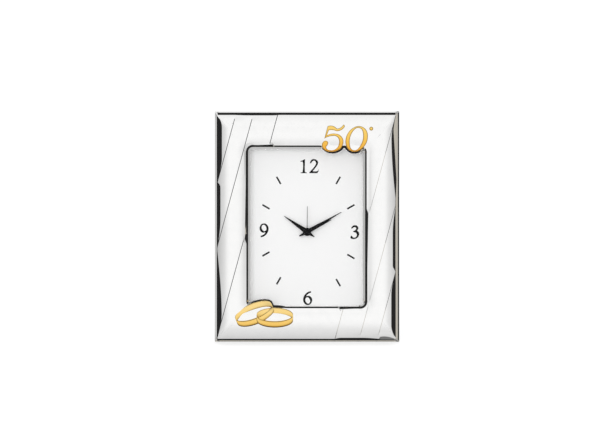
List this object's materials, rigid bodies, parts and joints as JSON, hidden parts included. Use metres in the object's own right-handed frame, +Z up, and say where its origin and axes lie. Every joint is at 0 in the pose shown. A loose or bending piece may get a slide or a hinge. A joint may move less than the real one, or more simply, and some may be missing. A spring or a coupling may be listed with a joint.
{
  "type": "photo frame clock",
  "caption": "Silver photo-frame table clock with folded bands, gilt fifty and rings, glazed white dial, hands, quartz alarm movement and easel strut.",
  "frame": {"origin": "middle of the bounding box on the table under the clock", "axes": "+Z up from the table, the dial faces -Y and leans back towards +Y, +X to the right of someone reading the dial"},
  "size_m": [0.2, 0.0742, 0.2462],
  "materials": {
    "silver": "polished silver sheet",
    "core": "moulded resin filling",
    "gilt": "polished gilding",
    "glass": "clear",
    "white_spacer": "matt",
    "dial_white": "printed card, matt",
    "board": "hardboard",
    "back_wood": "stained and lacquered",
    "steel": "plated",
    "brass": "turned",
    "hand_black": "black lacquer",
    "case_black": "fine matt",
    "knob_black": "satin",
    "switch_grey": "satin",
    "wheel_white": "moulded",
    "plate_white": "moulded",
    "circuit_green": "lacquered board",
    "chip_black": "resin drop",
    "copper": "enamelled copper wire",
    "magnet": "sintered",
    "cell_sleeve": "plain sleeve"
  },
  "bodies": {
    "frame": {"silver_face": "silver", "frame_core": "core", "numeral_five": "gilt", "numeral_zero": "gilt", "degree_dot": "gilt", "ring_left": "gilt", "ring_right": "gilt", "glass_pane": "glass", "dial_spacer": "white_spacer", "dial_card": "dial_white", "dial_board": "board", "bush_nut": "brass", "back_panel": "back_wood", "clip_screws": "steel", "hinge_leaf_fixed": "steel", "hinge_pin": "steel", "hinge_rivets": "steel", "movement_case": "case_black", "movement_cover": "case_black", "train_plate": "plate_white", "battery_contact_plus": "steel", "battery_contact_minus": "steel", "circuit_board": "circuit_green", "control_chip": "chip_black", "quartz_crystal": "steel", "buzzer_disc": "brass", "stator": "steel", "coil_bobbin": "plate_white", "coil_winding": "copper", "alarm_spring": "steel"},
    "strut": {"strut": "back_wood", "hinge_leaf_moving": "steel", "strut_rivets": "steel"},
    "time_setter": {"setting_wheel": "wheel_white", "time_set_knob": "knob_black"},
    "minute": {"minute_hand": "hand_black", "cannon_pinion": "wheel_white"},
    "hour": {"hour_hand": "hand_black", "hour_wheel": "wheel_white"},
    "alarm_setter": {"alarm_pinion": "wheel_white", "alarm_set_knob": "knob_black"},
    "alarm": {"alarm_hand": "hand_black", "alarm_wheel": "wheel_white"},
    "second": {"second_hand": "hand_black", "seconds_wheel": "wheel_white"},
    "centre": {"centre_wheel": "wheel_white"},
    "third": {"third_wheel": "wheel_white"},
    "intermediate": {"intermediate_wheel": "wheel_white"},
    "rotor": {"rotor_pinion": "wheel_white", "rotor_magnet": "magnet"},
    "alarm_switch": {"alarm_switch": "switch_grey"},
    "battery": {"battery": "cell_sleeve"},
    "clip_upper_left": {"clip_upper_left": "steel"},
    "clip_upper_right": {"clip_upper_right": "steel"},
    "clip_lower_right": {"clip_lower_right": "steel"},
    "clip_lower_left": {"clip_lower_left": "steel"}
  },
  "joints": [
    {"name": "strut_hinge", "type": "hinge", "parent": "frame", "child": "strut", "pos_m": [0, 0.00363, 0.07582], "axis": [1, 0, 0], "range_deg": [-27, 0]},
    {"name": "time_set_spin", "type": "hinge", "parent": "frame", "child": "time_setter", "pos_m": [-0.00985, 0.01446, 0.11376], "axis": [0, 0.9781, -0.2079], "continuous": true},
    {"name": "minute_hand_spin", "type": "hinge", "parent": "frame", "child": "minute", "pos_m": [0, 0.01482, 0.11546], "axis": [0, 0.9781, -0.2079], "continuous": true},
    {"name": "hour_hand_spin", "type": "hinge", "parent": "frame", "child": "hour", "pos_m": [0, 0.01482, 0.11546], "axis": [0, 0.9781, -0.2079], "continuous": true},
    {"name": "alarm_set_spin", "type": "hinge", "parent": "frame", "child": "alarm_setter", "pos_m": [0.01043, 0.01424, 0.11272], "axis": [0, 0.9781, -0.2079], "continuous": true},
    {"name": "alarm_hand_spin", "type": "hinge", "parent": "frame", "child": "alarm", "pos_m": [0, 0.01482, 0.11546], "axis": [0, 0.9781, -0.2079], "continuous": true},
    {"name": "second_hand_spin", "type": "hinge", "parent": "frame", "child": "second", "pos_m": [0, 0.01482, 0.11546], "axis": [0, 0.9781, -0.2079], "continuous": true},
    {"name": "centre_wheel_spin", "type": "hinge", "parent": "frame", "child": "centre", "pos_m": [0, 0.01482, 0.11546], "axis": [0, 0.9781, -0.2079], "continuous": true},
    {"name": "third_wheel_spin", "type": "hinge", "parent": "frame", "child": "third", "pos_m": [-0.00579, 0.01625, 0.1222], "axis": [0, 0.9781, -0.2079], "continuous": true},
    {"name": "intermediate_wheel_spin", "type": "hinge", "parent": "frame", "child": "intermediate", "pos_m": [0.0045, 0.01644, 0.12308], "axis": [0, 0.9781, -0.2079], "continuous": true},
    {"name": "rotor_spin", "type": "hinge", "parent": "frame", "child": "rotor", "pos_m": [0.0099, 0.01778, 0.12938], "axis": [0, 0.9781, -0.2079], "continuous": true},
    {"name": "alarm_switch_slide", "type": "slide", "parent": "frame", "child": "alarm_switch", "axis": [0, 0.2079, 0.9781], "range_m": [0, 0.003]},
    {"name": "battery_slide", "type": "slide", "parent": "frame", "child": "battery", "axis": [0, 0.9781, -0.2079], "range_m": [0, 0.022]},
    {"name": "clip_upper_left_turn", "type": "hinge", "parent": "frame", "child": "clip_upper_left", "pos_m": [-0.084, 0.02318, 0.17594], "axis": [0, 0.9781, -0.2079], "range_deg": [0, 90]},
    {"name": "clip_upper_right_turn", "type": "hinge", "parent": "frame", "child": "clip_upper_right", "pos_m": [0.084, 0.02318, 0.17594], "axis": [0, 0.9781, -0.2079], "range_deg": [-90, 0]},
    {"name": "clip_lower_right_turn", "type": "hinge", "parent": "frame", "child": "clip_lower_right", "pos_m": [0.084, 0.00031, 0.06835], "axis": [0, 0.9781, -0.2079], "range_deg": [-90, 0]},
    {"name": "clip_lower_left_turn", "type": "hinge", "parent": "frame", "child": "clip_lower_left", "pos_m": [-0.084, 0.00031, 0.06835], "axis": [0, 0.9781, -0.2079], "range_deg": [0, 90]}
  ],
  "couplings": [
    {"joint": "minute_hand_spin", "follows": "time_set_spin", "ratio": -3},
    {"joint": "hour_hand_spin", "follows": "time_set_spin", "ratio": -0.25},
    {"joint": "alarm_hand_spin", "follows": "alarm_set_spin", "ratio": -0.33333},
    {"joint": "intermediate_wheel_spin", "follows": "second_hand_spin", "ratio": -5},
    {"joint": "rotor_spin", "follows": "second_hand_spin", "ratio": 30},
    {"joint": "third_wheel_spin", "follows": "second_hand_spin", "ratio": -0.13333},
    {"joint": "centre_wheel_spin", "follows": "second_hand_spin", "ratio": 0.016667}
  ]
}
